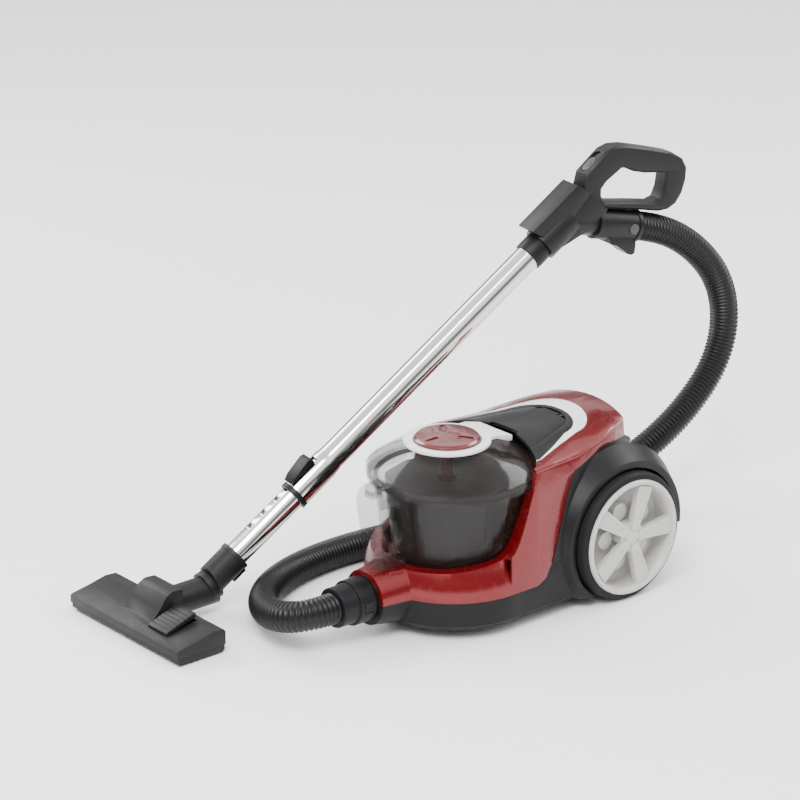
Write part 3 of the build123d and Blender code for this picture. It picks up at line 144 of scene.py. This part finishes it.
finishes = {
    "cherryRed": {"slot": "red_shell", "color": (0.19, 0.0012, 0.004), "dark": (0.10, 0.0007, 0.002),
                  "metal": 0.5, "rough": 0.27, "spread": 0.03, "coat": 0.4, "coatRough": 0.05,
                  "grain": 2600, "bump": 0.00002, "fleck": 0.22},
    "satinBlack": {"slot": "black_plastic", "shine": 0.2, "color": (0.007, 0.007, 0.008),
                   "dark": (0.004, 0.004, 0.005), "rough": 0.42, "spread": 0.10, "grain": 900,
                   "bump": 0.00005},
    "charcoalPanel": {"slot": "dark_panel", "shine": 0.25, "color": (0.009, 0.009, 0.010),
                      "dark": (0.006, 0.006, 0.007), "rough": 0.34, "spread": 0.08, "grain": 1100,
                      "bump": 0.00003},
    "whiteTrim": {"slot": "white_trim", "color": (0.82, 0.82, 0.81), "dark": (0.74, 0.74, 0.73),
                  "rough": 0.30, "spread": 0.05, "grain": 700, "bump": 0.00002, "coat": 0.3,
                  "coatRough": 0.15},
    "wheelGrey": {"slot": "wheel_grey", "color": (0.50, 0.49, 0.47), "dark": (0.42, 0.41, 0.39),
                  "rough": 0.36, "spread": 0.07, "grain": 600, "bump": 0.00003},
    "tyreRubber": {"slot": "tyre_rubber", "shine": 0.2, "color": (0.007, 0.007, 0.008),
                   "dark": (0.005, 0.005, 0.006), "rough": 0.62, "spread": 0.14, "grain": 1500,
                   "bump": 0.00008},
    "plainSteel": {"slot": "steel_pin", "color": (0.62, 0.62, 0.62), "dark": (0.50, 0.50, 0.51),
                   "metal": 1.0, "rough": 0.28, "spread": 0.1, "grain": 800, "bump": 0.00002},
    "smokyClear": {"slot": "clear_cup", "color": (0.028, 0.024, 0.021), "dark": (0.018, 0.015, 0.013),
                   "rough": 0.08, "spread": 0.05, "grain": 60, "bump": 0.00003, "shine": 0.4, "coat": 0.5,
                   "coatRough": 0.03, "clear": 0.20},
    "knobRed": {"slot": "knob_red", "color": (0.15, 0.002, 0.005), "dark": (0.09, 0.001, 0.003),
                "metal": 0.35, "rough": 0.26, "spread": 0.06, "coat": 0.8, "coatRough": 0.08,
                "grain": 2200, "bump": 0.00002, "fleck": 0.15},
    "innerDark": {"slot": "inner_dark", "shine": 0.25, "color": (0.005, 0.005, 0.006),
                  "dark": (0.005, 0.005, 0.006), "rough": 0.34, "spread": 0.1, "grain": 800,
                  "bump": 0.00005},
    "fineMesh": {"slot": "mesh", "color": (0.36, 0.36, 0.36), "dark": (0.08, 0.08, 0.08), "metal": 0.9,
                 "rough": 0.4, "spread": 0.1, "grain": 3500, "bump": 0.0001},
    "filterCloth": {"slot": "filter_cloth", "color": (0.78, 0.78, 0.75), "dark": (0.66, 0.66, 0.62),
                    "rough": 0.9, "spread": 0.06, "grain": 1800, "bump": 0.0002},
    "motorCan": {"slot": "motor_metal", "color": (0.30, 0.30, 0.31), "dark": (0.22, 0.22, 0.23),
                 "metal": 0.6, "rough": 0.42, "spread": 0.1, "grain": 500, "bump": 0.00004},
    "mirrorChrome": {"slot": "chrome_tube", "color": (0.72, 0.71, 0.69), "dark": (0.62, 0.61, 0.59),
                     "metal": 1.0, "rough": 0.09, "spread": 0.05, "grain": 120, "bump": 0.00001},
    "handleGrey": {"slot": "handle_grey", "shine": 0.25, "color": (0.007, 0.007, 0.008),
                   "dark": (0.004, 0.004, 0.005), "rough": 0.40, "spread": 0.09, "grain": 1300,
                   "bump": 0.00006},
    "padGrey": {"slot": "light_grey", "shine": 0.3, "color": (0.05, 0.05, 0.05),
                "dark": (0.05, 0.05, 0.05), "rough": 0.42, "spread": 0.08, "grain": 900, "bump": 0.00004},
    "headDark": {"slot": "head_dark", "shine": 0.25, "color": (0.010, 0.010, 0.011),
                 "dark": (0.007, 0.007, 0.008), "rough": 0.46, "spread": 0.1, "grain": 1500,
                 "bump": 0.00007},
    "hoseBlack": {"slot": "hose_black", "shine": 0.25, "color": (0.005, 0.005, 0.006),
                  "dark": (0.003, 0.003, 0.004), "rough": 0.36, "spread": 0.08, "grain": 900,
                  "bump": 0.00004},
    "bristleDark": {"slot": "bristle", "color": (0.045, 0.045, 0.05), "dark": (0.02, 0.02, 0.022),
                    "rough": 0.7, "spread": 0.1, "grain": 2500, "bump": 0.0001},
}


def rgba(color):
    return (*color, 1.0)


# plastic, metal or clear finish with fine grain and a slow drift of tone
def makeFinish(name, look):
    material = bpy.data.materials.new(name)
    material.use_nodes = True
    shade = Shade(material.node_tree)
    where = shade.node("ShaderNodeTexCoord", "Object")
    slow = shade.noise(where, 9.0, 4.0)
    fine = shade.noise(where, look["grain"], 2.0)
    smear = shade.noise(where, 38.0, 6.0)
    tone = slow * 0.7 + fine * 0.3
    color = shade.mixColor(tone, rgba(look["dark"]), rgba(look["color"]))
    if look.get("fleck"):
        cell = shade.node("ShaderNodeTexVoronoi", "Distance", {"Vector": where, "Scale": look["grain"]})
        spark = (1.0 - cell) ** 6.0
        bright = [min(1.0, channel * 2.2 + 0.02) for channel in look["color"]]
        color = shade.mixColor(spark * look["fleck"], color, rgba(bright))
    rough = (smear - 0.5) * look["spread"] * 2 + look["rough"]
    relief = shade.node("ShaderNodeBump", "Normal",
                        {"Height": fine, "Strength": 0.35, "Distance": look["bump"] * 6})
    inputs = {"Base Color": color, "Roughness": rough, "Normal": relief, "Metallic": look.get("metal", 0.0)}
    if look.get("clear"):
        edge = shade.node("ShaderNodeLayerWeight", "Facing", {"Blend": 0.35})
        inputs["Alpha"] = edge ** 2.2 * 0.55 + look["clear"]
    surface = shade.node("ShaderNodeBsdfPrincipled", None, inputs)
    surface.inputs["Specular IOR Level"].default_value = look.get("shine", 0.5)
    surface.inputs["Coat Weight"].default_value = look.get("coat", 0.0)
    surface.inputs["Coat Roughness"].default_value = look.get("coatRough", 0.1)
    end = shade.node("ShaderNodeOutputMaterial", None)
    shade.put(Wire(shade, surface.outputs[0]), end.inputs["Surface"])
    material.diffuse_color = rgba(look["color"])
    return material


materials = {name: makeFinish(name, look) for name, look in finishes.items()}
finishOfSlot = {look["slot"]: name for name, look in finishes.items()}
slotOfNode = {part["node"]: part["material_slot"] for part in record["subparts"]}
bodyOfNode = {node: body for body, nodes in record["behaviour"]["bodies"].items() for node in nodes}
print("finishes made", len(materials))


# a finished piece wears the finish of its CAD node's slot, rides on the node's body and hides the node whose
# place it takes
def dress(piece, node):
    piece.data.materials.clear()
    piece.data.materials.append(materials[finishOfSlot[slotOfNode[node]]])
    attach(piece, bodyOfNode[node])
    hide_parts(node)


def smoothByAngle(mesh, degrees):
    for face in mesh.polygons:
        face.use_smooth = True
    mesh.set_sharp_from_angle(angle=math.radians(degrees))


def bakeModifiers(piece):
    bpy.context.view_layer.update()
    graph = bpy.context.evaluated_depsgraph_get()
    mesh = bpy.data.meshes.new_from_object(piece.evaluated_get(graph))
    piece.modifiers.clear()
    piece.data = mesh


def roundEdges(piece, width):
    edge = piece.modifiers.new("edge", "BEVEL")
    edge.width = width
    edge.segments = meshSettings["segments"]
    edge.limit_method = "ANGLE"
    edge.angle_limit = math.radians(meshSettings["bevelFrom"])
    edge.miter_outer = "MITER_ARC"
    bakeModifiers(piece)
    smoothByAngle(piece.data, meshSettings["rounded"])


meshSettings = {"weld": 0.00001, "flat": 0.6, "shell": 30, "rounded": 40, "bevelFrom": 34, "segments": 3}


# a copy of a CAD node with its flat triangles joined
def fromNode(node):
    mesh = frame["nodes"][node].data.copy()
    shape = bmesh.new()
    shape.from_mesh(mesh)
    bmesh.ops.remove_doubles(shape, verts=shape.verts, dist=meshSettings["weld"])
    bmesh.ops.dissolve_limit(shape, angle_limit=math.radians(meshSettings["flat"]), verts=shape.verts,
                             edges=shape.edges, delimit={"NORMAL"})
    shape.to_mesh(mesh)
    shape.free()
    mesh.name = node + "Skin"
    piece = bpy.data.objects.new(node + "Skin", mesh)
    link(piece)
    smoothByAngle(mesh, meshSettings["shell"])
    return piece


# bevel widths in millimetres
edgeWidths = {
    "side_frame": 1.2, "top_cover": 0.5, "trim_band": 0.5, "top_panel": 0.5, "carry_handle": 0.8,
    "chassis_base": 1.5, "rear_housing": 1.5, "wheel_rim_right": 1.0, "wheel_rim_left": 1.0,
    "tyre_right": 1.2, "tyre_left": 1.2, "dust_cup": 1.4, "cup_button": 0.8, "cup_lid": 1.2,
    "lid_ring": 0.8, "lid_knob": 1.0, "cyclone_shroud": 1.0, "hose_connector": 1.0, "tube_ring": 0.6,
    "latch_slider": 1.6, "tube_collar": 0.6, "handle_body": 1.6, "handle_grip": 2.2, "handle_top": 2.0,
    "suction_slider": 0.5, "hose_cuff": 1.4, "cuff_pins": 0.6, "tube_cuff": 1.0, "elbow": 1.0,
    "head_upper": 1.2, "sole_plate": 0.8, "foot_pedal": 0.5, "power_pedal": 0.5, "rewind_pedal": 0.5,
    "exhaust_cover": 0.5, "cord_outlet": 0.6,
}
ownPieces = {"hose"}

for node in frame["nodes"]:
    if node in ownPieces:
        continue
    piece = fromNode(node)
    if node in edgeWidths:
        roundEdges(piece, edgeWidths[node] / 1000)
    dress(piece, node)
print("pieces dressed", len(frame["nodes"]))


# the hose lies on the floor around the left of the canister, then climbs to the wand handle
hoseSettings = {
    "points": ((0, -398, 55), (0, -426, 55), (-20, -450, 50), (-58, -451, 41), (-98, -433, 33), (-138, -402, 27),
               (-172, -358, 22.5), (-194, -300, 21), (-201, -230, 21), (-195, -158, 21), (-184, -86, 21),
               (-172, -14, 21), (-165, 60, 22), (-140, 130, 32), (-111, 196, 53), (-92, 260, 87), (-80, 318, 132),
               (-72, 364, 187), (-69, 381, 252), (-71, 366, 318), (-79, 322, 372), (-87.743, 260.345, 410.144),
               (-94.211, 216.806, 419.5)),
    "core": 0.0184, "crest": 0.0205, "root": 0.0184, "pitch": 0.0056, "step": 0.0007, "length": 1.359,
    "sides": 36, "smooth": 24, "coreSides": 6}


def hoseCurve(name):
    curve = bpy.data.curves.new(name, "CURVE")
    curve.dimensions = "3D"
    line = curve.splines.new("NURBS")
    spots = hoseSettings["points"]
    line.points.add(len(spots) - 1)
    for point, spot in zip(line.points, spots):
        point.co = (*place(*spot), 1)
    line.order_u = 3
    line.use_endpoint_u = True
    line.resolution_u = hoseSettings["smooth"]
    curve.twist_mode = "MINIMUM"
    return link(bpy.data.objects.new(name, curve))


def socketOf(group, name):
    return next(item.identifier for item in group.interface.items_tree if item.name == name)


# a tube along the curve whose radius swells once per ring
def corrugation(settings):
    group = bpy.data.node_groups.new("corrugation", "GeometryNodeTree")
    group.interface.new_socket("Geometry", in_out="INPUT", socket_type="NodeSocketGeometry")
    for name in ("Crest", "Root", "Pitch", "Step"):
        group.interface.new_socket(name, in_out="INPUT", socket_type="NodeSocketFloat")
    group.interface.new_socket("Finish", in_out="INPUT", socket_type="NodeSocketMaterial")
    group.interface.new_socket("Shape", in_out="OUTPUT", socket_type="NodeSocketGeometry")
    add, join = group.nodes.new, group.links.new
    start, end = add("NodeGroupInput"), add("NodeGroupOutput")
    even = add("GeometryNodeResampleCurve")
    even.mode = "LENGTH"
    join(start.outputs["Geometry"], even.inputs["Curve"])
    join(start.outputs["Step"], even.inputs["Length"])

    def sums(kind, first, second=None):
        made = add("ShaderNodeMath")
        made.operation = kind
        for spot, value in enumerate((first, second)):
            if value is None:
                continue
            if isinstance(value, (int, float)):
                made.inputs[spot].default_value = value
            else:
                join(value, made.inputs[spot])
        return made.outputs[0]

    far = add("GeometryNodeSplineParameter").outputs["Length"]
    wave = sums("SINE", sums("DIVIDE", sums("MULTIPLY", far, 2 * math.pi), start.outputs["Pitch"]))
    full = sums("POWER", sums("ADD", sums("MULTIPLY", wave, 0.5), 0.5), 0.6)
    size = sums("ADD", start.outputs["Root"],
                sums("MULTIPLY", full, sums("SUBTRACT", start.outputs["Crest"], start.outputs["Root"])))
    ring = add("GeometryNodeCurvePrimitiveCircle")
    ring.inputs["Resolution"].default_value = settings["sides"]
    ring.inputs["Radius"].default_value = 1.0
    tube = add("GeometryNodeCurveToMesh")
    join(even.outputs["Curve"], tube.inputs["Curve"])
    join(ring.outputs["Curve"], tube.inputs["Profile Curve"])
    join(size, tube.inputs["Scale"])
    real = add("GeometryNodeRealizeInstances")
    finish = add("GeometryNodeSetMaterial")
    join(tube.outputs["Mesh"], real.inputs[0])
    join(real.outputs[0], finish.inputs["Geometry"])
    join(start.outputs["Finish"], finish.inputs["Material"])
    join(finish.outputs[0], end.inputs["Shape"])
    return group


def makeHose(settings):
    core = hoseCurve("hoseCore")
    core.data.bevel_depth = settings["core"]
    core.data.bevel_resolution = settings["coreSides"]
    core.data.use_fill_caps = True
    core.data.materials.append(materials["hoseBlack"])
    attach(core, "canister")
    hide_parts("hose")
    carrier = hoseCurve("hoseLine")
    group = corrugation(settings)
    waves = carrier.modifiers.new("waves", "NODES")
    waves.node_group = group
    for name, value in (("Crest", settings["crest"]), ("Root", settings["root"]), ("Pitch", settings["pitch"]),
                        ("Step", settings["step"]), ("Finish", materials["hoseBlack"])):
        waves[socketOf(group, name)] = value
    bpy.context.view_layer.update()
    graph = bpy.context.evaluated_depsgraph_get()
    mesh = bpy.data.meshes.new_from_object(carrier.evaluated_get(graph))
    bpy.data.objects.remove(carrier)
    skin = link(bpy.data.objects.new("hoseSkin", mesh))
    for face in mesh.polygons:
        face.use_smooth = True
    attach(skin, "canister")
    return len(mesh.polygons)


print("hose made", makeHose(hoseSettings))


stageSettings = {"reach": 6.0, "drop": -0.0004, "tone": 2.0, "rough": 0.75}


def makeStage():
    floorMesh = bpy.data.meshes.new("floor")
    reach = stageSettings["reach"]
    floorMesh.from_pydata([(-reach, -reach, 0), (reach, -reach, 0), (reach, reach, 0), (-reach, reach, 0)], [],
                          [(0, 1, 2, 3)])
    floor = link(bpy.data.objects.new("floor", floorMesh))
    floor.location = (0, 0, stageSettings["drop"])
    pale = bpy.data.materials.new("paleFloor")
    pale.use_nodes = True
    shade = Shade(pale.node_tree)
    where = shade.node("ShaderNodeTexCoord", "Object")
    tone = shade.noise(where, stageSettings["tone"], 2.0)
    color = shade.mixColor(tone, (0.93, 0.93, 0.93, 1), (0.95, 0.95, 0.95, 1))
    surface = shade.node("ShaderNodeBsdfPrincipled", None,
                         {"Base Color": color, "Roughness": stageSettings["rough"]})
    end = shade.node("ShaderNodeOutputMaterial", None)
    shade.put(Wire(shade, surface.outputs[0]), end.inputs["Surface"])
    floorMesh.materials.append(pale)


# name, place, size and power
lampSettings = (("keyLamp", (1.2, -1.6, 2.6), (1.6, 1.2), 110),
                ("sideLamp", (-2.4, -0.6, 1.8), (1.4, 1.6), 60),
                ("backLamp", (0.6, 2.4, 2.2), (2.2, 1.0), 60))


def makeLamp(name, spot, target, size, power):
    lamp = bpy.data.lights.new(name, "AREA")
    lamp.shape = "RECTANGLE"
    lamp.size, lamp.size_y = size
    lamp.energy = power
    holder = link(bpy.data.objects.new(name, lamp))
    holder.location = spot
    holder.rotation_euler = (Vector(target) - Vector(spot)).to_track_quat("-Z", "Y").to_euler()


def makeWorld():
    world = bpy.data.worlds.new("studio")
    bpy.context.scene.world = world
    world.use_nodes = True
    shade = Shade(world.node_tree)
    way = shade.node("ShaderNodeTexCoord", "Generated")
    parts = shade.node("ShaderNodeSeparateXYZ", None, {"Vector": way})
    height = Wire(shade, parts.outputs["Z"])
    ramp = shade.node("ShaderNodeValToRGB", None, {"Fac": height * 0.5 + 0.5})
    ramp.color_ramp.elements[0].position = 0.0
    ramp.color_ramp.elements[0].color = (0.8, 0.8, 0.8, 1)
    ramp.color_ramp.elements[1].position = 1.0
    ramp.color_ramp.elements[1].color = (0.75, 0.75, 0.76, 1)
    for position, tone in ((0.50, 0.95), (0.53, 0.28), (0.60, 0.10), (0.66, 0.22), (0.74, 1.0), (0.90, 1.2)):
        stop = ramp.color_ramp.elements.new(position)
        stop.color = (tone, tone, tone, 1)
    seen = shade.node("ShaderNodeBackground", None, {"Color": (1, 1, 1, 1), "Strength": 1.0})
    lit = shade.node("ShaderNodeBackground", None,
                     {"Color": Wire(shade, ramp.outputs["Color"]), "Strength": 1.9})
    ray = shade.node("ShaderNodeLightPath", "Is Camera Ray")
    both = shade.node("ShaderNodeMixShader", None, {0: ray})
    shade.put(Wire(shade, lit.outputs[0]), both.inputs[1])
    shade.put(Wire(shade, seen.outputs[0]), both.inputs[2])
    end = shade.node("ShaderNodeOutputWorld", None)
    shade.put(Wire(shade, both.outputs[0]), end.inputs["Surface"])


makeStage()
makeWorld()
for lampName, spot, size, power in lampSettings:
    makeLamp(lampName, spot, (0, 0, 0.2), size, power)
print("stage lit")
